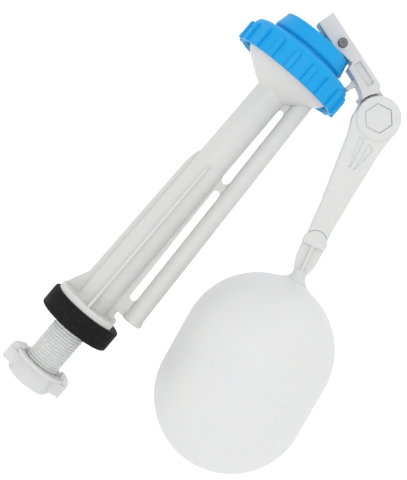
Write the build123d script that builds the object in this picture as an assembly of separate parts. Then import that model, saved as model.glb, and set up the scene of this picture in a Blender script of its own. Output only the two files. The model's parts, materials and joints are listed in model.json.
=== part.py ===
from build123d import *
import math
import os

# Bottom-entry diaphragm float valve for a toilet cistern. Millimetres, +Z up along the standpipe.
# z = 0 is the cistern floor, under the sealing washer. +X points to the arm and float.

# --- inlet tail, flange and sealing washer
THREAD_R = 20.955 / 2          # G1/2 major radius
THREAD_PITCH = 1.814
THREAD_ROOT_R = 18.631 / 2
TAIL_END_Z = -41.0
TAIL_BORE_R = 6.75
TAIL_BORE_TOP = 12.0
WASHER_R = 22.9
WASHER_T = 12.6
FLANGE_R = 20.8
FLANGE_Z0 = WASHER_T + 0.05
FLANGE_Z1 = 16.8
FLANGE_FLAT_X = 17.5

# --- standpipe
PIPE_R_LOW = 10.3
PIPE_R_TOP = 9.55
PIPE_BORE_R = 6.0
RIB_T = 1.7
RIB_TOP_Z = 121.0
BOWL_FOOT_Z = 174.8

# --- dip tube beside the standpipe
DIP_X_LOW, DIP_Z_LOW = 23.55, 40.0
DIP_SLOPE = 0.0392             # x per z, leaning towards the standpipe going up
DIP_END_Z = 22.8
DIP_R_LOW = 5.55
DIP_R_TOP = 5.15
DIP_BORE_R = 4.0
WEB_T = 2.6

# --- head
BOWL_RIM_Z = 196.4
BOWL_RIM_R = 28.6
RING_Z0, RING_Z1 = 186.8, 203.0
RING_R = 33.3
RING_GRIP_R = 35.2
RING_HOLE_R = 24.4
RING_BORE_R = 30.8
GRIPS = 18
GRIP_PHASE = -1.2
CAP_R = 23.8
CAP_TOP_Z = 215.3
CAP_TOP_R = 22.1
CAP_FLANGE_R = 30.4

# --- lever
PIVOT_X, PIVOT_Z = 12.1, 221.5
LEVER_SLOPE = 0.2867
LEVER_HALF_W = 8.0
KNUCKLE_X, KNUCKLE_Z = 55.1, 202.8
KNUCKLE_R = 12.8
PLATE_GAP = 0.3

# --- arm, connector and float
ARM_Y0, ARM_Y1 = -8.0, -0.15
ARM_FACE = ARM_Y0 + 0.45
ARM_MID_Y = (ARM_Y0 + ARM_Y1) / 2
HEX_AF = 14.5
HEX_TURN = 74.0
POLE_X, POLE_Z = 80.3, 102.3
CONN_TILT = 15.1
FLOAT_TILT = 11.3
FLOAT_X, FLOAT_Z = 91.9, 43.9
FLOAT_R = 44.2
FLOAT_HALF = 59.6
FLOAT_STRAIGHT = 30.8
FLOAT_WALL = 1.5

# --- back nut
NUT_Z0, NUT_Z1 = -41.9, -30.6
NUT_TOP_Z = -28.4
NUT_AF = 25.5
NUT_BORE_R = 10.8
NUT_TURN = 10.0
NUT_HEX_TURN = 15.0

os.makedirs("parts", exist_ok=True)


def save(shape, name):
    shape = shape.clean() if hasattr(shape, "clean") else shape
    solids = shape.solids()
    out = solids[0] if len(solids) == 1 else Compound(children=list(solids))
    out.label = name
    export_step(out, f"parts/{name}.step")
    print(f"{name:22s} solids {len(solids)} volume {sum(s.volume for s in solids):9.1f} valid {all(s.is_valid for s in solids)}")


def plate(pts, y0, y1):
    """A flat plate with its outline in X and Z, from y0 to y1."""
    plane = Plane(origin=(0, y1, 0), x_dir=(1, 0, 0), z_dir=(0, -1, 0))
    face = make_face(plane * Polyline(*pts, close=True))
    return extrude(face, amount=y1 - y0, dir=(0, -1, 0))


def lathe(pts):
    """A turned shape from an outline of radius and height."""
    face = make_face(Plane.XZ * Polyline(*pts, close=True))
    return revolve(face, Axis.Z, 360)


def rod_y(x, z, r, y0, y1):
    return Pos(x, (y0 + y1) / 2, z) * Rot(90, 0, 0) * Cylinder(r, y1 - y0)


def rod_z(r, z0, z1, x=0.0, y=0.0):
    return Pos(x, y, (z0 + z1) / 2) * Cylinder(r, z1 - z0)


def box(x0, x1, y0, y1, z0, z1):
    return Pos((x0 + x1) / 2, (y0 + y1) / 2, (z0 + z1) / 2) * Box(x1 - x0, y1 - y0, z1 - z0)


def soft(shape, pick, r, what="", flat=False):
    """Round (or chamfer) the picked edges, with a smaller radius where the first does not fit."""
    for k in (1.0, 0.6, 0.35):
        try:
            es = pick(shape)
            if not len(es):
                break
            out = chamfer(es, r * k) if flat else fillet(es, r * k)
            if out.is_valid and out.volume > 0.5 * shape.volume:
                return out
        except Exception:
            pass
    print("left sharp:", what)
    return shape


def circles_at(z, r, tol=0.06):
    def pick(s):
        return [
            e
            for e in s.edges()
            if e.geom_type == GeomType.CIRCLE
            and abs(e.radius - r) < tol
            and abs(e.center().Z - z) < tol
        ]
    return pick


def outline_at_y(*ys, keep=lambda c: True, tol=0.02):
    def pick(s):
        return [e for e in s.edges() if any(all(abs((e @ t).Y - y) < tol for t in (0, 0.37, 1)) for y in ys) and keep(e @ 0.5)]
    return pick


# ------------------------------------------------------------------ valve body
def pipe_r(z):
    return PIPE_R_LOW + (PIPE_R_TOP - PIPE_R_LOW) * (z - FLANGE_Z1) / (BOWL_FOOT_Z - FLANGE_Z1)


def dip_x(z):
    return DIP_X_LOW - (z - DIP_Z_LOW) * DIP_SLOPE


# tail core with a lead at the end, then the flange with its flat and the pipe
tail = lathe([(0, TAIL_END_Z), (THREAD_ROOT_R - 0.7, TAIL_END_Z), (THREAD_ROOT_R, TAIL_END_Z + 0.8), (THREAD_ROOT_R, 0.0),
              (THREAD_R, 1.2), (THREAD_R, FLANGE_Z0 + 0.5), (0, FLANGE_Z0 + 0.5)])
thread_len = 40.0
helix = Helix(pitch=THREAD_PITCH, height=thread_len, radius=THREAD_ROOT_R - 0.05, center=(0, 0, TAIL_END_Z + 0.6))
tooth = Plane(origin=(THREAD_ROOT_R - 0.05, 0, TAIL_END_Z + 0.6), x_dir=(1, 0, 0), z_dir=(0, -1, 0)) * Polyline(
    (0, -0.86), (THREAD_R - THREAD_ROOT_R + 0.05, -0.13), (THREAD_R - THREAD_ROOT_R + 0.05, 0.13), (0, 0.86), close=True)
thread = sweep(make_face(tooth), path=helix, is_frenet=True)
thread = thread & lathe([(THREAD_ROOT_R, TAIL_END_Z + 0.8), (THREAD_R + 0.3, TAIL_END_Z + 2.0), (THREAD_R + 0.3, -0.2), (THREAD_ROOT_R, -0.2)])
thread = max(thread.solids(), key=lambda q: q.volume)
save(thread, "tail_thread")

flange = rod_z(FLANGE_R, FLANGE_Z0, FLANGE_Z1) & box(-30, FLANGE_FLAT_X, -30, 30, 0, 30)
flange = soft(flange, lambda s: [e for e in s.edges() if abs(e.center().Z - FLANGE_Z0) < 0.02 or abs(e.center().Z - FLANGE_Z1) < 0.02], 0.9, "flange rim")

pipe = lathe([(0, FLANGE_Z1 - 1), (PIPE_R_LOW + 1.2, FLANGE_Z1 - 1), (PIPE_R_LOW + 1.2, FLANGE_Z1), (PIPE_R_LOW + 0.5, FLANGE_Z1 + 0.4), (PIPE_R_LOW, FLANGE_Z1 + 1.2),
              (PIPE_R_TOP, BOWL_FOOT_Z), (PIPE_R_TOP, 180), (0, 180)])

# four long ribs, with flared feet on the flange
rib_left = [(0, FLANGE_Z1 - 0.5), (-19.6, FLANGE_Z1 - 0.5), (-19.3, 17.4), (-18.2, 20.2), (-13.3, 30.2), (-12.9, 70), (-12.4, 105), (-12.0, 113), (-11.0, 118.5), (-9.3, RIB_TOP_Z + 2), (0, RIB_TOP_Z + 2)]
rib_right = [(0, FLANGE_Z1 - 0.5), (16.6, FLANGE_Z1 - 0.5), (16.3, 17.3), (14.9, 18.6), (14.3, 20.4), (14.0, 24), (13.6, 40), (13.0, 60), (12.2, 80), (11.4, 105), (10.9, 116), (9.3, RIB_TOP_Z + 2), (0, RIB_TOP_Z + 2)]
ribs = plate(rib_left, -RIB_T / 2, RIB_T / 2) + plate(rib_right, -RIB_T / 2, RIB_T / 2)
cross = plate(rib_left, -RIB_T / 2, RIB_T / 2)
ribs = ribs + plate([(-8, 100), (-12.5, 100), (-12.25, 114.5), (-11.3, 120.5), (-9.3, RIB_TOP_Z + 5), (-8, RIB_TOP_Z + 5)], -RIB_T / 2, RIB_T / 2)
ribs = ribs + Rot(0, 0, 90) * cross + Rot(0, 0, -90) * cross

# bowl
with BuildPart() as bowl_b:
    with BuildSketch(Plane.XZ):
        with BuildLine():
            foot = Line((0, 168), (PIPE_R_TOP, 168))
            rise = Line(foot @ 1, (PIPE_R_TOP, BOWL_FOOT_Z))
            swell = Spline((PIPE_R_TOP, BOWL_FOOT_Z), (14.2, 177.5), (20.5, 182.0), (25.7, 186.0), (28.0, 189.3), (BOWL_RIM_R, 193.0), tangents=[(1, 0.62), (0, 1)])
            up = Line(swell @ 1, (BOWL_RIM_R, BOWL_RIM_Z))
            top = Line(up @ 1, (0, BOWL_RIM_Z))
            Line(top @ 1, foot @ 0)
        make_face()
    revolve(axis=Axis.Z)
bowl = bowl_b.part
for k in range(3):
    z = 191.9 + 1.5 * k
    bowl = bowl + lathe([(BOWL_RIM_R - 0.3, z - 0.6), (30.3, z - 0.15), (30.3, z + 0.15), (BOWL_RIM_R - 0.3, z + 0.6)])

# dip tube, its end lip, and the three webs that join it to the pipe
tube_dir = Vector(DIP_SLOPE, 0, -1).normalized()
tube_len = (188 - DIP_END_Z) / abs(tube_dir.Z)
tube_top = Plane(origin=(dip_x(188), 0, 188), z_dir=tube_dir)
tube = tube_top * Pos(0, 0, tube_len / 2) * Cone(DIP_R_TOP, DIP_R_LOW, tube_len)
lip = tube_top * Pos(0, 0, tube_len) * lathe([(0, -4.6), (DIP_R_LOW - 0.2, -4.6), (6.35, -2.0), (6.35, -1.0), (5.75, 0), (0, 0)])
tube = tube + lip


def web(z0, z1, round_low, round_high):
    pts = [(4, z0), (dip_x(z0), z0), (dip_x(z1), z1), (4, z1)]
    w = plate(pts, -WEB_T / 2, WEB_T / 2)
    if round_low:
        xm, r = (pipe_edge(z0) + dip_x(z0) - DIP_R_TOP - 0.1) / 2, (dip_x(z0) - DIP_R_TOP - 0.1 - pipe_edge(z0)) / 2
        w = w - rod_y(xm, z0, r, -5, 5)
    if round_high:
        xm, r = (pipe_edge(z1) + dip_x(z1) - DIP_R_LOW - 0.0) / 2, (dip_x(z1) - DIP_R_LOW - pipe_edge(z1)) / 2
        w = w - rod_y(xm, z1, r, -5, 5)
    return w


def pipe_edge(z):
    table = [(20.4, 14.3), (24, 14.0), (40, 13.6), (60, 13.0), (80, 12.2), (105, 11.4), (116, 10.9), (123, pipe_r(123)), (180, PIPE_R_TOP)]
    for (z0, x0), (z1, x1) in zip(table, table[1:]):
        if z0 <= z <= z1:
            return x0 + (x1 - x0) * (z - z0) / (z1 - z0)
    return table[0][1]


webs = web(22.8, 35.0, False, True) + web(110.6, 120.6, True, True) + web(169.5, 186, True, False)

# hollows: inlet bore, pipe bore, head chamber, nozzle seat, dip tube bore
chamber = lathe([(9.0, 182.6), (13.0, 181.6), (19.0, 185.4), (24.0, 189.2), (26.3, 192.2), (26.3, BOWL_RIM_Z + 1), (0, BOWL_RIM_Z + 1), (0, 187.0), (9.0, 187.0)])
bores = rod_z(TAIL_BORE_R, TAIL_END_Z - 1, TAIL_BORE_TOP) + rod_z(PIPE_BORE_R, TAIL_BORE_TOP - 1, 190)
save((tail & box(-60, 60, -60, 60, -60, FLANGE_Z0)) - bores, "inlet_tail")
save(flange - bores, "inlet_flange")

column = pipe + ribs + bowl + webs
column = column & box(-60, 60, -60, 60, FLANGE_Z1, 260)
column = column - chamber - bores - rod_z(6.8, 181.0, 190)
column = soft(column, lambda s: [e for e in s.edges() if e.geom_type == GeomType.CIRCLE and abs(e.radius - PIPE_R_TOP) < 0.05 and abs(e.center().Z - BOWL_FOOT_Z) < 0.1], 0.8, "bowl foot")
column = column - tube
column = max(column.solids(), key=lambda q: q.volume)
save(column, "standpipe")

dip_tube = tube - chamber - tube_top * Pos(0, 0, tube_len / 2 + 1.0) * Cylinder(DIP_BORE_R, tube_len + 4.0)
dip_tube = max(dip_tube.solids(), key=lambda q: q.volume)
save(dip_tube, "dip_tube")

# ------------------------------------------------------------------ washer, back nut
washer = lathe([(THREAD_R + 0.15, 0), (WASHER_R, 0), (WASHER_R, WASHER_T), (THREAD_R + 0.15, WASHER_T)])
washer = soft(washer, lambda s: circles_at(0, WASHER_R)(s) + circles_at(WASHER_T, WASHER_R)(s), 1.1, "washer rim")
save(washer, "sealing_washer")

nut = Pos(0, 0, (NUT_Z0 + NUT_Z1) / 2) * extrude(RegularPolygon(NUT_AF / 2, 6, major_radius=False, rotation=NUT_HEX_TURN), amount=(NUT_Z1 - NUT_Z0) / 2, both=True)
nut = nut & lathe([(0, NUT_Z0), (13.5, NUT_Z0), (15.2, NUT_Z0 + 1.7), (15.2, NUT_Z1), (0, NUT_Z1)])
disc = lathe([(0, NUT_Z1 - 0.6), (15.4, NUT_Z1 - 0.6), (16.7, NUT_Z1 + 0.5), (16.7, NUT_TOP_Z - 0.5), (16.2, NUT_TOP_Z), (0, NUT_TOP_Z)])
nut = nut + disc
wing = plate([(8, -38.8), (19.2, -38.4), (20.1, -37.6), (20.1, -29.2), (19.0, -27.9), (15.5, -26.3), (13.2, -25.8), (13.2, -31.5), (8, -31.5)], -3.4, 3.4)
wing = soft(wing, lambda s: s.edges().filter_by(Axis.Y).group_by(Axis.X)[-1], 0.5, "wing tip")
root = Pos(0, 0, -35.0) * extrude(make_face(Polyline((8, -6.4), (15.5, -4.2), (20.25, -2.6), (20.25, 2.6), (15.5, 4.2), (8, 6.4), close=True)), amount=3.8, both=True)
wing = wing & (Pos(0, 0, -35) * extrude(make_face(Polyline((8, -4.4), (14, -3.4), (20.3, -2.4), (20.3, 2.4), (14, 3.4), (8, 4.4), close=True)), amount=12, both=True))
gusset = wing + root
nut = nut + Rot(0, 0, NUT_TURN) * gusset + Rot(0, 0, 180 + NUT_TURN) * gusset
nut = nut - rod_z(NUT_BORE_R, NUT_Z0 - 1, -20) - lathe([(0, NUT_TOP_Z - 1.7), (NUT_BORE_R, NUT_TOP_Z - 1.7), (12.8, NUT_TOP_Z + 0.3), (12.8, -20), (0, -20)])
for k in range(5):
    z = NUT_Z0 + 1.4 + THREAD_PITCH * k
    nut = nut - lathe([(NUT_BORE_R - 0.2, z - 0.5), (NUT_BORE_R + 0.6, z), (NUT_BORE_R - 0.2, z + 0.5)])
save(nut, "backnut")

# ------------------------------------------------------------------ parts inside the inlet and standpipe
strainer = lathe([(4.3, 13.0), (5.95, 13.0), (5.95, 15.0), (4.9, 15.6), (4.9, 46.0), (0, 46.0), (0, 45.0), (4.3, 45.0)])
slot = box(0, 7, -0.5, 0.5, 0, 2.4)
slots = []
for row in range(8):
    for k in range(10):
        slots.append(Rot(0, 0, 36 * k + 18 * (row % 2)) * Pos(0, 0, 17.2 + 3.4 * row) * slot)
strainer = strainer - Compound(children=slots)
save(strainer, "inlet_strainer")

restrictor = lathe([(3.0, 60.0), (5.95, 60.0), (5.95, 61.2), (5.5, 61.6), (5.5, 64.4), (5.95, 64.8), (5.95, 66.0), (2.0, 66.0), (2.0, 62.5)])
save(restrictor, "flow_restrictor")

# ------------------------------------------------------------------ head internals
nozzle = lathe([(5.3, 181.1), (6.75, 181.1), (6.75, 187.1), (6.6, 188.25), (8.2, 188.25), (8.2, 189.3), (5.0, 189.5), (3.9, 190.6), (3.5, 191.0), (2.9, 191.0), (2.5, 190.4), (2.5, 186.5), (5.3, 184.0)])
save(nozzle, "seat_nozzle")
o_ring = Pos(0, 0, 187.62) * Torus(7.5, 0.6)
save(o_ring, "nozzle_o_ring")

diaphragm = lathe([(0, 194.4), (11.2, 194.4), (12.6, 195.0), (15.0, 196.9), (17.6, 197.2), (20.5, 196.5), (30.3, 196.45), (30.3, 197.85), (20.8, 197.9), (17.6, 197.9), (14.6, 197.7), (12.0, 195.7), (10.9, 195.2), (0, 195.2)])
save(diaphragm, "diaphragm")

plunger = lathe([(0, 195.3), (9.6, 195.3), (10.2, 195.8), (10.2, 197.4), (4.2, 198.4), (2.5, 200.0), (2.5, 216.9), (2.0, 217.9), (0.9, 218.3), (0, 218.3)])
save(plunger, "plunger")

cap = lathe([(20.9, 197.95), (CAP_FLANGE_R, 197.95), (CAP_FLANGE_R, 200.2), (22.8, 200.2), (22.8, 205.2), (CAP_R, 206.6), (CAP_R, 208.0), (23.45, 208.6), (CAP_TOP_R + 0.1, 213.6), (CAP_TOP_R, 214.2), (CAP_TOP_R, CAP_TOP_Z), (0, CAP_TOP_Z), (0, 205.2), (6.2, 205.2), (6.2, 211.8), (7.2, 212.8), (19.6, 212.8), (20.9, 211.4)])
cap = soft(cap, circles_at(CAP_TOP_Z, CAP_TOP_R), 1.9, "cap top rim")
cap = soft(cap, circles_at(208.0, CAP_R), 0.5, "cap band")
lug = plate([(7.6, 214.5), (16.6, 214.5), (16.6, PIVOT_Z), (7.6, PIVOT_Z)], -4.6, 4.6) + rod_y(PIVOT_X, PIVOT_Z, 4.5, -4.6, 4.6)
lug = soft(lug, outline_at_y(-4.6, 4.6, keep=lambda c: c.Z > 217), 0.5, "lug outline")
cap = cap + lug
cap = cap - lathe([(0, 213.0), (4.6, 213.0), (5.6, CAP_TOP_Z + 0.01), (5.6, 217.5), (0, 217.5)])
cap = cap - rod_z(2.85, 200, 220) - rod_y(PIVOT_X, PIVOT_Z, 2.32, -6, 6)
cap = cap - lathe([(2.0, 206.8), (4.15, 206.8), (4.15, 208.6), (2.0, 208.6)])
save(cap, "head_cap")
stem_seal = Pos(0, 0, 207.7) * Torus(3.5, 0.62)
save(stem_seal, "plunger_seal")

# ring nut with grip ribs
ring = lathe([(31.7, RING_Z0), (RING_R - 0.4, RING_Z0), (RING_R, RING_Z0 + 0.4), (RING_R, 199.4), (RING_R - 0.35, 201.0), (RING_R - 1.3, 202.3), (RING_R - 2.7, RING_Z1), (RING_HOLE_R + 0.3, RING_Z1),
              (RING_HOLE_R, RING_Z1 - 0.3), (RING_HOLE_R, 200.3), (RING_BORE_R, 200.3), (RING_BORE_R, 188.6)])
grip = box(RING_R - 1.2, RING_GRIP_R, -1.8, 1.8, RING_Z0 + 0.25, 198.9)
grip = soft(grip, lambda s: s.edges().filter_by(Axis.Z).group_by(Axis.X)[-1], 1.1, "grip sides")
grip = soft(grip, lambda s: [e for e in s.edges() if abs(e.center().Z - 198.9) < 0.05 and e.center().X > RING_R], 1.3, "grip top")
for k in range(GRIPS):
    ring = ring + Rot(0, 0, -90 + GRIP_PHASE - 2.9 + 360 / GRIPS * k) * grip
save(ring, "union_ring")

# ------------------------------------------------------------------ lever
def lever_top(x):
    return 230.35 - LEVER_SLOPE * (x + 0.5)


def lever_low(x):
    return 219.9 - LEVER_SLOPE * (x + 1.5)


K = (KNUCKLE_X, KNUCKLE_Z)
head = [(-5.6, lever_low(-5.6)), (-3.0, lever_top(-3.0)), (43.1, lever_top(43.1)), (50.8, 208.0), (44.8, 203.0), (41.9, 203.6), (39.7, 206.0), (37.2, 207.8), (34.6, 208.9),
        (29.0, lever_low(29.0)), (23.9, lever_low(23.9)), (23.4, 216.45), (10.4, 216.6)]
near = plate(head, -LEVER_HALF_W, PLATE_GAP / 2) - rod_y(*K, KNUCKLE_R + 1.1, -20, PLATE_GAP / 2)
far_pts = [(-5.6, lever_low(-5.6)), (-3.0, lever_top(-3.0)), (43.1, lever_top(43.1)), (47.0, 215.9), (50.8, 214.8), (54.8, 208), (44.8, 199), (42.35, 201.0), (41.8, 203.6), (39.7, 206.0), (37.2, 207.8), (34.6, 208.9),
           (29.0, lever_low(29.0)), (23.9, lever_low(23.9)), (23.4, 216.45), (10.4, 216.6)]
far = plate(far_pts, PLATE_GAP / 2, LEVER_HALF_W) + rod_y(*K, KNUCKLE_R, PLATE_GAP / 2, LEVER_HALF_W)
lever = near + far
ux, uz = math.cos(math.atan(LEVER_SLOPE)), -math.sin(math.atan(LEVER_SLOPE))
nib_pts = [(30.4, 212.2), (29.95, 206.0), (29.5, 204.6), (30.0, 203.85), (31.3, 203.75), (32.4, 204.0), (32.9, 206.5), (34.3, 209.4), (35.6, 212.2)]
lever = soft(lever, outline_at_y(-LEVER_HALF_W, keep=lambda c: (c - Vector(K[0], -8, K[1])).length > KNUCKLE_R + 0.6 and c.X < 44), 0.7, "lever near outline")
lever = soft(lever, outline_at_y(LEVER_HALF_W), 0.7, "lever far outline")
lever = lever + plate(nib_pts, -4.5, 4.5)
# window for the cap's lug, pivot hole, clamp hole, face recesses, seat for the pad
lever = lever - box(5.4, 19.0, -5.0, 5.0, 205, 235)
lever = lever - rod_y(PIVOT_X, PIVOT_Z, 2.05, -10, 10) - rod_y(*K, 4.25, -1, 10)
recess = Pos(32.5, 0, 216.1) * Rot(0, 15.9, 0) * Box(14.6, 2.4, 4.4)
recess = soft(recess, lambda s: s.edges().filter_by(Axis.Y), 0.9, "recess corners")
lever = lever - Pos(0, -LEVER_HALF_W, 0) * recess - Pos(0, LEVER_HALF_W, 0) * recess
pad_at = Plane(origin=(0, 0, lever_low(0)), z_dir=(LEVER_SLOPE, 0, 1))
lever = lever - pad_at * Pos(0, 0, 1.0) * Cylinder(3.05, 2.0 + 0.6)
save(lever, "lever")
pad = pad_at * lathe([(0, -0.8), (2.6, -0.8), (3.0, -0.4), (3.0, 2.25), (0, 2.25)])
save(pad, "lever_pad")

pin = rod_y(PIVOT_X, PIVOT_Z, 2.0, -8.5, 9.6) + rod_y(PIVOT_X, PIVOT_Z, 2.75, -9.2, -8.03)
pin = soft(pin, lambda s: [e for e in s.edges() if e.geom_type == GeomType.CIRCLE and abs(e.center().Y + 9.2) < 0.05], 0.45, "pin head", flat=True)
pin = pin - rod_y(PIVOT_X, PIVOT_Z, 0.9, -9.5, -8.6)
save(pin, "pivot_pin")
clip = rod_y(PIVOT_X, PIVOT_Z, 3.7, 8.03, 8.7) - rod_y(PIVOT_X, PIVOT_Z, 2.04, 8, 9)
for k in range(6):
    clip = clip - Pos(PIVOT_X, 8.4, PIVOT_Z) * Rot(0, 60 * k, 0) * Pos(2.5, 0, 0) * Box(0.9, 2, 0.5)
save(clip, "pin_clip")

# ------------------------------------------------------------------ arm and its clamp
left_start = (K[0] + KNUCKLE_R * math.cos(math.radians(190)), K[1] + KNUCKLE_R * math.sin(math.radians(190)))
right_start = (K[0] + KNUCKLE_R, K[1])
arm_left = [left_start, (42.9, 195.0), (46.1, 188.4), (49.9, 178.8), (56.8, 159.3), (60.3, 149.4), (66.8, 128.8)]
arm_right = [right_start, (68.4, 189.1), (70.7, 174.3), (73.0, 159.5), (74.9, 149.6), (77.1, 137.0), (78.6, 130.8)]
flat = Plane(origin=(0, ARM_Y1, 0), x_dir=(1, 0, 0), z_dir=(0, -1, 0))
arm_wire = [
    flat * ThreePointArc(left_start, (K[0], K[1] + KNUCKLE_R), right_start),
    flat * Spline(*arm_right, tangents=[(0, -1), (0.2, -1)]),
    flat * Line(arm_right[-1], arm_left[-1]),
    flat * Spline(*arm_left, tangents=[(0.174, -0.985), (0.3, -1)]),
]
arm = extrude(make_face(Curve() + arm_wire), amount=ARM_Y1 - ARM_FACE, dir=(0, -1, 0))
arm = soft(arm, outline_at_y(ARM_FACE, keep=lambda c: c.Z > 131), 0.8, "arm near outline")
arm = soft(arm, outline_at_y(ARM_Y1, keep=lambda c: c.Z > 131), 0.8, "arm far outline")
raised = rod_y(*K, KNUCKLE_R - 0.25, ARM_Y0, ARM_Y0 + 2.0)
raised = soft(raised, lambda s: [e for e in s.edges() if e.geom_type == GeomType.CIRCLE and abs(e.center().Y - ARM_Y0) < 0.02], 0.5, "raised disc rim")
arm = arm + raised
conn = Pos(POLE_X, ARM_MID_Y, POLE_Z) * Rot(0, -CONN_TILT, 0)
HEAD_S = 25.2
conn_dir = Vector(-math.sin(math.radians(CONN_TILT)), 0, math.cos(math.radians(CONN_TILT)))
hx, hz = POLE_X + HEAD_S * conn_dir.X, POLE_Z + HEAD_S * conn_dir.Z
arm = arm - rod_y(hx, hz, 7.08, -20, 5)
for pts in ([(53.5, 188.0), (57.0, 188.7), (61.0, 172.4), (60.2, 171.0)], [(60.3, 188.7), (64.4, 187.7), (64.1, 174.2), (63.0, 171.2)]):
    arm = arm - plate(pts, ARM_FACE - 1, ARM_FACE + 0.5)
hex_pocket = Pos(*(K[0], ARM_Y0, K[1])) * Rot(90, 0, 0) * extrude(RegularPolygon(HEX_AF / 2 + 0.12, 6, major_radius=False, rotation=HEX_TURN), amount=5.2, both=True)
arm = arm - hex_pocket - rod_y(*K, 4.1, -10, 2)
tongue_slot = conn * (Pos(0, 0, 34.5) * Box(5.2, 3.2, 13.0))
arm = arm - tongue_slot
arm = arm.solids()[0]
save(arm, "arm")

bolt_head = Pos(K[0], ARM_Y0 + 2.7, K[1]) * Rot(90, 0, 0) * extrude(RegularPolygon(HEX_AF / 2, 6, major_radius=False, rotation=HEX_TURN), amount=2.4, both=True)
bolt_head = soft(bolt_head, outline_at_y(ARM_Y0 + 0.3), 0.4, "bolt head rim")
bolt = bolt_head + rod_y(*K, 3.9, ARM_Y0 + 4, 19.2)
bolt = soft(bolt, lambda s: [e for e in s.edges() if abs(e.center().Y - 19.2) < 0.02], 0.7, "bolt end", flat=True)
for k in range(5):
    y = 12.2 + 1.25 * k
    groove = Pos(K[0], y, K[1]) * Rot(90, 0, 0) * lathe([(3.35, -0.15), (4.2, -0.55), (4.2, 0.55), (3.35, 0.15)])
    bolt = bolt - groove
save(bolt, "clamp_bolt")
clamp_washer = rod_y(*K, 9.0, 8.3, 9.5) - rod_y(*K, 4.05, 8, 10)
clamp_washer = soft(clamp_washer, lambda s: [e for e in s.edges() if e.geom_type == GeomType.CIRCLE and abs(e.radius - 9.0) < 0.05], 0.25, "clamp washer")
save(clamp_washer, "clamp_washer")
wing_nut = rod_y(*K, 7.2, 9.6, 16.4)
wing_nut = soft(wing_nut, lambda s: [e for e in s.edges() if e.geom_type == GeomType.CIRCLE and abs(e.center().Y - 16.4) < 0.05], 1.0, "wing nut hub")
ear = Pos(0, 0, 0) * Polyline((5.0, 9.9), (9.5, 9.9), (14.6, 14.6), (15.4, 18.4), (13.4, 20.2), (10.6, 19.4), (7.8, 15.4), (5.0, 14.4), close=True)
ear = extrude(make_face(ear), amount=1.5, both=True)
ear = soft(ear, lambda s: s.edges().filter_by(Plane.XY), 0.6, "ear outline")
for turn in (14.0, 194.0):
    wing_nut = wing_nut + Pos(K[0], 0, K[1]) * Rot(0, turn, 0) * ear
wing_nut = wing_nut - rod_y(*K, 4.0, 9, 17)
save(wing_nut, "clamp_wing_nut")

# ------------------------------------------------------------------ float connector: a flared foot, a flat stem with a shallow ridge, a round head and a tongue up into the arm
def stem_web(half, t):
    pts = [(-half[0], 5.6)] + [(-h, s) for h, s in zip(half[1:], (8.0, 11.0, 16.0, 21.0, 24.5))]
    pts = pts + [(-x, s) for x, s in reversed(pts)]
    return plate(pts, -t / 2, t / 2)


foot = Plane.XZ * Spline((7.9, -0.6), (6.5, 0.9), (4.9, 2.9), (4.05, 5.2), (3.9, 7.4))
base = revolve(make_face(Curve() + [foot, Plane.XZ * Polyline((3.9, 7.4), (3.3, 8.2), (0, 8.2), (0, -0.6), (7.9, -0.6))]), Axis.Z, 360)
flat_stem = stem_web((3.7, 4.7, 5.7, 6.3, 6.45, 6.5), 4.4)
flat_stem = soft(flat_stem, outline_at_y(-2.2, 2.2), 0.5, "stem outline")
stem = base + flat_stem + Rot(0, 0, 90) * stem_web((3.5, 3.6, 3.6, 3.5, 3.4, 3.2), 1.8)
stem_head = rod_y(0, HEAD_S, 6.95, -3.85, 3.85) & box(-8, 8, -5, 5, 22.6, 40)
stem_head = soft(stem_head, outline_at_y(-3.85, 3.85), 0.7, "stem head")
stem = stem + stem_head + box(-2.4, 2.4, -1.5, 1.5, 28, 40.5)
float_at = Pos(FLOAT_X, ARM_MID_Y, FLOAT_Z) * Rot(0, -FLOAT_TILT, 0)
stem = conn * stem - float_at * rod_z(30, FLOAT_HALF - 10, FLOAT_HALF + 0.65)
save(stem, "float_connector")

# ------------------------------------------------------------------ float: two half shells with a fine seam
def quarter(r, z1):
    k = math.sqrt(0.5)
    return Plane.XZ * ThreePointArc((r, z1), (r * k, z1 + r * k), (0, z1 + r))


def half_shell(seam_gap):
    z1 = FLOAT_STRAIGHT / 2
    wall = FLOAT_WALL
    outer = quarter(FLOAT_R, z1)
    inner = quarter(FLOAT_R - wall, z1)
    side = Plane.XZ * Polyline((FLOAT_R, z1), (FLOAT_R, seam_gap), (FLOAT_R - wall, seam_gap), (FLOAT_R - wall, z1))
    top = Plane.XZ * Line((0, z1 + FLOAT_R - wall), (0, z1 + FLOAT_R))
    face = make_face(Curve() + [outer, inner, side, top])
    return revolve(face, Axis.Z, 360)


upper = half_shell(0.005)
rise = Plane.XZ * Spline((10.8, FLOAT_HALF - 1.5), (8.9, FLOAT_HALF - 0.5), (7.0, FLOAT_HALF + 0.62))
boss = revolve(make_face(Curve() + [rise, Plane.XZ * Polyline((7.0, FLOAT_HALF + 0.62), (0, FLOAT_HALF + 0.62), (0, FLOAT_HALF - 1.5), (10.8, FLOAT_HALF - 1.5))]), Axis.Z, 360)
upper = upper + boss
save(float_at * upper, "float_upper_shell")
lower = mirror(half_shell(0.005), about=Plane.XY)
save(float_at * lower, "float_lower_shell")
weld = lathe([(FLOAT_R - FLOAT_WALL - 1.3, -3.0), (FLOAT_R - FLOAT_WALL - 0.05, -3.0), (FLOAT_R - FLOAT_WALL - 0.05, 3.0), (FLOAT_R - FLOAT_WALL - 1.3, 3.0)])
save(float_at * weld, "float_weld_band")
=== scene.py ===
import json
import math
import bpy
from mathutils import Matrix, Vector

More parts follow.
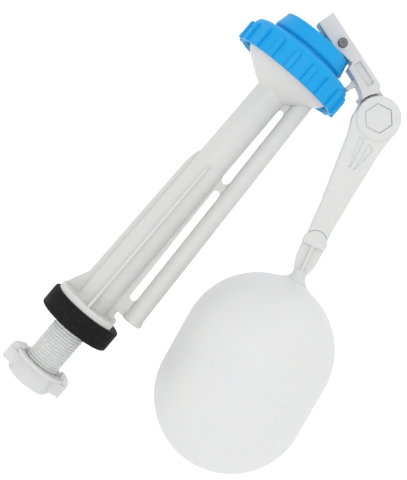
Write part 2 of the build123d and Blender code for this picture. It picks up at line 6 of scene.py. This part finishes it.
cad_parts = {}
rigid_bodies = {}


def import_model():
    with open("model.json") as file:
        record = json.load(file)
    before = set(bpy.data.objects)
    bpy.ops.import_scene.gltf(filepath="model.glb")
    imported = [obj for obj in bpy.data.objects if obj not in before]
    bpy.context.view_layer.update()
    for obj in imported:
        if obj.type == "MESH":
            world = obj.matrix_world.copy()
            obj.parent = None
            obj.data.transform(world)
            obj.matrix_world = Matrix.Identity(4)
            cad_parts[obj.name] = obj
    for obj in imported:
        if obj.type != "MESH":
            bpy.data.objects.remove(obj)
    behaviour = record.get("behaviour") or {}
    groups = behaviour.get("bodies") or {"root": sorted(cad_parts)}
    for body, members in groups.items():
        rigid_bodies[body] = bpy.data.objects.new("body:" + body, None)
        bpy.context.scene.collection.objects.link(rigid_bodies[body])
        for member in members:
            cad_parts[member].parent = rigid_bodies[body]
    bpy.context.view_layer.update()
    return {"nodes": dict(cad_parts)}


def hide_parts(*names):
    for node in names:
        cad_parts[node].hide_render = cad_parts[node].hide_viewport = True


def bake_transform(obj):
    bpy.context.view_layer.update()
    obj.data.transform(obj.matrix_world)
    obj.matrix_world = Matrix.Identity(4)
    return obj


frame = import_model()
nodes = frame["nodes"]


# ------------------------------------------------------------------ materials
def new_mat(name):
    m = bpy.data.materials.new(name)
    m.use_nodes = True
    nt = m.node_tree
    nt.nodes.clear()
    out = nt.nodes.new("ShaderNodeOutputMaterial")
    b = nt.nodes.new("ShaderNodeBsdfPrincipled")
    nt.links.new(b.outputs["BSDF"], out.inputs["Surface"])
    return m, nt, b


def put(b, **kw):
    names = {
        "color": "Base Color", "rough": "Roughness", "metal": "Metallic", "sss": "Subsurface Weight",
        "sss_scale": "Subsurface Scale", "coat": "Coat Weight", "coat_rough": "Coat Roughness", "ior": "IOR",
        "spec": "Specular IOR Level", "aniso": "Anisotropic", "sheen": "Sheen Weight", "trans": "Transmission Weight",
    }
    for k, v in kw.items():
        s = b.inputs.get(names[k])
        if s is None:
            continue
        if k == "color":
            s.default_value = (v[0], v[1], v[2], 1.0)
        else:
            s.default_value = v


def coords(nt):
    return nt.nodes.new("ShaderNodeTexCoord").outputs["Object"]


def noise(nt, vec, scale, detail=2.0, rough=0.5):
    n = nt.nodes.new("ShaderNodeTexNoise")
    n.inputs["Scale"].default_value = scale
    n.inputs["Detail"].default_value = detail
    n.inputs["Roughness"].default_value = rough
    nt.links.new(vec, n.inputs["Vector"])
    return n


def ramp_range(nt, fac, lo, hi, to_lo=0.0, to_hi=1.0):
    r = nt.nodes.new("ShaderNodeMapRange")
    r.inputs["From Min"].default_value = lo
    r.inputs["From Max"].default_value = hi
    r.inputs["To Min"].default_value = to_lo
    r.inputs["To Max"].default_value = to_hi
    nt.links.new(fac, r.inputs["Value"])
    return r.outputs["Result"]


def bump(nt, height, strength, distance, normal=None):
    n = nt.nodes.new("ShaderNodeBump")
    n.inputs["Strength"].default_value = strength
    n.inputs["Distance"].default_value = distance
    nt.links.new(height, n.inputs["Height"])
    if normal is not None:
        nt.links.new(normal, n.inputs["Normal"])
    return n.outputs["Normal"]


def soft_edge(nt, radius):
    n = nt.nodes.new("ShaderNodeBevel") if radius > 0 else nt.nodes.new("ShaderNodeNewGeometry")
    if radius > 0:
        n.samples = 4
        n.inputs["Radius"].default_value = radius
    return n.outputs["Normal"]


def plastic(name, color, rough, grain=0.35, edge=0.0003, sss=0.0, coat=0.0, mottle=0.02):
    """Moulded plastic: faint mottle in the colour, a fine grain, and a slow waviness like sink marks."""
    m, nt, b = new_mat(name)
    put(b, color=color, rough=rough, sss=sss, sss_scale=0.004, coat=coat, coat_rough=0.12, ior=1.48)
    vec = coords(nt)
    slow = noise(nt, vec, 35.0, 2.0)
    if mottle:
        mix = nt.nodes.new("ShaderNodeMix")
        mix.data_type = "RGBA"
        mix.inputs["A"].default_value = (color[0] * (1 - mottle), color[1] * (1 - mottle), color[2] * (1 - mottle), 1)
        mix.inputs["B"].default_value = (min(1, color[0] * (1 + mottle)), min(1, color[1] * (1 + mottle)), min(1, color[2] * (1 + mottle)), 1)
        nt.links.new(slow.outputs["Fac"], mix.inputs["Factor"])
        nt.links.new(mix.outputs["Result"], b.inputs["Base Color"])
    fine = noise(nt, vec, 2600.0, 3.0, 0.6)
    nt.links.new(ramp_range(nt, noise(nt, vec, 160.0, 4.0).outputs["Fac"], 0.3, 0.7, rough - 0.04, rough + 0.05), b.inputs["Roughness"])
    nrm = soft_edge(nt, edge)
    nrm = bump(nt, slow.outputs["Fac"], 0.25, 0.0006, nrm)
    nrm = bump(nt, fine.outputs["Fac"], grain, 0.00003, nrm)
    nt.links.new(nrm, b.inputs["Normal"])
    return m, nt, b, nrm


white_body = plastic("white_body", (0.60, 0.60, 0.595), 0.46, sss=0.05)[0]
white_lever = plastic("white_lever", (0.58, 0.58, 0.575), 0.46, sss=0.05)[0]
white_arm = plastic("white_arm", (0.61, 0.61, 0.605), 0.45, sss=0.06)[0]
white_thread = plastic("white_thread", (0.74, 0.74, 0.735), 0.48, sss=0.10, edge=0.0001)[0]
white_nut = plastic("white_nut", (0.62, 0.62, 0.62), 0.42, sss=0.08)[0]
acetal = plastic("acetal", (0.66, 0.655, 0.63), 0.38)[0]
red = plastic("red_plastic", (0.5, 0.03, 0.02), 0.4)[0]
blue = plastic("blue", (0.005, 0.325, 0.70), 0.44, grain=0.15, mottle=0.03)[0]
put(blue.node_tree.nodes["Principled BSDF"], spec=0.24)


def float_mat():
    """Blown white plastic with faint turned rings round the float's own axis."""
    m, nt, b, nrm = plastic("white_float", (0.66, 0.66, 0.66), 0.46, sss=0.08, edge=0.0)
    vec = coords(nt)
    tilt = math.radians(11.3)
    dot = nt.nodes.new("ShaderNodeVectorMath")
    dot.operation = "DOT_PRODUCT"
    dot.inputs[1].default_value = (-math.sin(tilt), 0.0, math.cos(tilt))
    nt.links.new(vec, dot.inputs[0])
    wob = noise(nt, vec, 14.0, 1.0)
    add = nt.nodes.new("ShaderNodeMath")
    add.operation = "MULTIPLY_ADD"
    add.inputs[1].default_value = 0.0016
    nt.links.new(wob.outputs["Fac"], add.inputs[0])
    nt.links.new(dot.outputs["Value"], add.inputs[2])
    k = nt.nodes.new("ShaderNodeMath")
    k.operation = "MULTIPLY"
    k.inputs[1].default_value = 2 * math.pi / 0.0021
    nt.links.new(add.outputs["Value"], k.inputs[0])
    s = nt.nodes.new("ShaderNodeMath")
    s.operation = "SINE"
    nt.links.new(k.outputs["Value"], s.inputs[0])
    # the rings come and go in patches
    patch = ramp_range(nt, noise(nt, vec, 32.0, 2.0).outputs["Fac"], 0.38, 0.66, 0.15, 1.0)
    amp = nt.nodes.new("ShaderNodeMath")
    amp.operation = "MULTIPLY"
    nt.links.new(s.outputs["Value"], amp.inputs[0])
    nt.links.new(patch, amp.inputs[1])
    n2 = bump(nt, amp.outputs["Value"], 0.55, 0.00007, nrm)
    st = nt.nodes.new("ShaderNodeMapping")
    st.inputs["Rotation"].default_value = (0.0, tilt, 0.0)
    st.inputs["Scale"].default_value = (9.0, 9.0, 260.0)
    nt.links.new(vec, st.inputs["Vector"])
    streak = noise(nt, st.outputs["Vector"], 1.0, 3.0, 0.6)
    n2 = bump(nt, streak.outputs["Fac"], 0.5, 0.00022, n2)
    nt.links.new(n2, b.inputs["Normal"])
    return m


def rubber_mat():
    m, nt, b = new_mat("black_rubber")
    put(b, color=(0.009, 0.009, 0.009), rough=0.80, spec=0.12)
    vec = coords(nt)
    n = noise(nt, vec, 900.0, 4.0, 0.65)
    nt.links.new(ramp_range(nt, noise(nt, vec, 70.0, 3.0).outputs["Fac"], 0.3, 0.7, 0.64, 0.82), b.inputs["Roughness"])
    nrm = bump(nt, n.outputs["Fac"], 0.45, 0.00010, soft_edge(nt, 0.0003))
    nt.links.new(nrm, b.inputs["Normal"])
    # talc-like specks caught in the moulded pores
    speck = ramp_range(nt, noise(nt, vec, 1500.0, 2.0, 0.7).outputs["Fac"], 0.56, 0.72)
    mix = nt.nodes.new("ShaderNodeMix")
    mix.data_type = "RGBA"
    mix.inputs["A"].default_value = (0.008, 0.008, 0.008, 1)
    mix.inputs["B"].default_value = (0.040, 0.040, 0.040, 1)
    nt.links.new(speck, mix.inputs["Factor"])
    nt.links.new(mix.outputs["Result"], b.inputs["Base Color"])
    return m


def steel_mat():
    m, nt, b = new_mat("steel")
    put(b, color=(0.13, 0.135, 0.145), metal=1.0, rough=0.42, aniso=0.3)
    vec = coords(nt)
    st = nt.nodes.new("ShaderNodeMapping")
    st.inputs["Scale"].default_value = (1.0, 0.08, 1.0)
    nt.links.new(vec, st.inputs["Vector"])
    n = noise(nt, st.outputs["Vector"], 3000.0, 3.0)
    nt.links.new(ramp_range(nt, n.outputs["Fac"], 0.3, 0.7, 0.36, 0.52), b.inputs["Roughness"])
    nt.links.new(bump(nt, n.outputs["Fac"], 0.2, 0.00002, soft_edge(nt, 0.0002)), b.inputs["Normal"])
    return m


white_float = float_mat()
rubber = rubber_mat()
steel = steel_mat()

looks = {
    "inlet_tail": white_body, "inlet_flange": white_body, "tail_thread": white_thread, "standpipe": white_body, "dip_tube": white_body, "sealing_washer": rubber, "backnut": white_nut,
    "inlet_strainer": acetal, "flow_restrictor": red, "seat_nozzle": acetal, "nozzle_o_ring": rubber, "diaphragm": rubber,
    "plunger": acetal, "plunger_seal": rubber, "head_cap": blue, "union_ring": blue, "lever": white_lever, "lever_pad": acetal,
    "pivot_pin": steel, "pin_clip": steel, "arm": white_arm, "clamp_bolt": white_arm, "clamp_washer": white_lever,
    "clamp_wing_nut": white_lever, "float_connector": white_arm, "float_upper_shell": white_float,
    "float_lower_shell": white_float, "float_weld_band": white_float,
}
for name, o in nodes.items():
    o.data.materials.clear()
    o.data.materials.append(looks[name])
    for p in o.data.polygons:
        p.use_smooth = True

# ------------------------------------------------------------------ the diaphragm: a copy of its mesh stands in for the CAD node, which is hidden
source = nodes["diaphragm"]
rubber_disc = bpy.data.objects.new("diaphragm_rubber", source.data.copy())
scene_objects = bpy.context.scene.collection.objects
scene_objects.link(rubber_disc)
rubber_disc.matrix_world = source.matrix_world.copy()
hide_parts("diaphragm")
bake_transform(rubber_disc)


# ------------------------------------------------------------------ camera
cam_data = bpy.data.cameras.new("camera")
cam = bpy.data.objects.new("camera", cam_data)
bpy.context.scene.collection.objects.link(cam)
bpy.context.scene.camera = cam
cam_data.sensor_fit = "VERTICAL"
cam_data.sensor_height = 36.0
cam_data.lens = 81.5
cam_data.clip_start = 0.01
cam_data.clip_end = 100.0
eye = Vector((0.012, -0.6228, 0.118))
aim = Vector((0.02495, 0.0, 0.0863))
look = (aim - eye).normalized()
right0 = look.cross(Vector((0, 0, 1))).normalized()
up0 = right0.cross(look).normalized()
roll = math.radians(40.614)
right = right0 * math.cos(roll) + up0 * math.sin(roll)
up = -right0 * math.sin(roll) + up0 * math.cos(roll)
m = Matrix.Identity(4)
m.col[0][:3] = right
m.col[1][:3] = up
m.col[2][:3] = -look
m.col[3][:3] = eye
cam.matrix_world = m


# ------------------------------------------------------------------ light and floor
scene = bpy.context.scene
scene.view_settings.view_transform = "Standard"
scene.view_settings.look = "None"
scene.view_settings.exposure = 0.0
scene.view_settings.gamma = 1.0

# A white studio: brighter behind the object and at its sides than in front
world = bpy.data.worlds.new("studio")
scene.world = world
world.use_nodes = True
wnt = world.node_tree
bg = wnt.nodes["Background"]
wdir = wnt.nodes.new("ShaderNodeTexCoord").outputs["Generated"]
sep = wnt.nodes.new("ShaderNodeSeparateXYZ")
wnt.links.new(wdir, sep.inputs["Vector"])


def wmath(op, a, b, clamp=False):
    n = wnt.nodes.new("ShaderNodeMath")
    n.operation = op
    n.use_clamp = clamp
    for k, v in enumerate((a, b)):
        if isinstance(v, (int, float)):
            n.inputs[k].default_value = v
        else:
            wnt.links.new(v, n.inputs[k])
    return n.outputs["Value"]


behind = ramp_range(wnt, sep.outputs["Y"], -0.40, 0.20)
side = ramp_range(wnt, sep.outputs["X"], -0.9, 0.9, 0.03, 0.07)
front = wmath("ADD", wmath("ADD", side, 0.80), wmath("MULTIPLY", sep.outputs["Z"], 0.03))
mix = wnt.nodes.new("ShaderNodeMix")
mix.data_type = "FLOAT"
wnt.links.new(behind, mix.inputs["Factor"])
wnt.links.new(front, mix.inputs["A"])
mix.inputs["B"].default_value = 1.10
bg.inputs["Color"].default_value = (1.0, 1.0, 1.0, 1.0)
wnt.links.new(mix.outputs["Result"], bg.inputs["Strength"])


def sun(name, toward, strength, angle):
    d = bpy.data.lights.new(name, "SUN")
    d.energy = strength
    d.angle = math.radians(angle)
    o = bpy.data.objects.new(name, d)
    scene.collection.objects.link(o)
    o.rotation_euler = Vector(toward).to_track_quat("-Z", "Y").to_euler()
    return o


sun("key", (0.04, 1.0, 0.03), 1.05, 50.0)
sun("top", (-0.1, 0.35, -1.0), 0.34, 45.0)

bpy.ops.mesh.primitive_plane_add(size=60.0, location=(0.0, 0.0, -0.075))
floor = bpy.context.object
floor.name = "floor"
fm, fnt, fb = new_mat("floor")
put(fb, color=(0.97, 0.97, 0.97), rough=0.8, spec=0.1)
fb.inputs["Emission Color"].default_value = (1.0, 1.0, 1.0, 1.0)
fb.inputs["Emission Strength"].default_value = 0.10
fn = noise(fnt, coords(fnt), 3.0, 2.0)
fnt.links.new(ramp_range(fnt, fn.outputs["Fac"], 0.3, 0.7, 0.78, 0.84), fb.inputs["Roughness"])
floor.data.materials.append(fm)
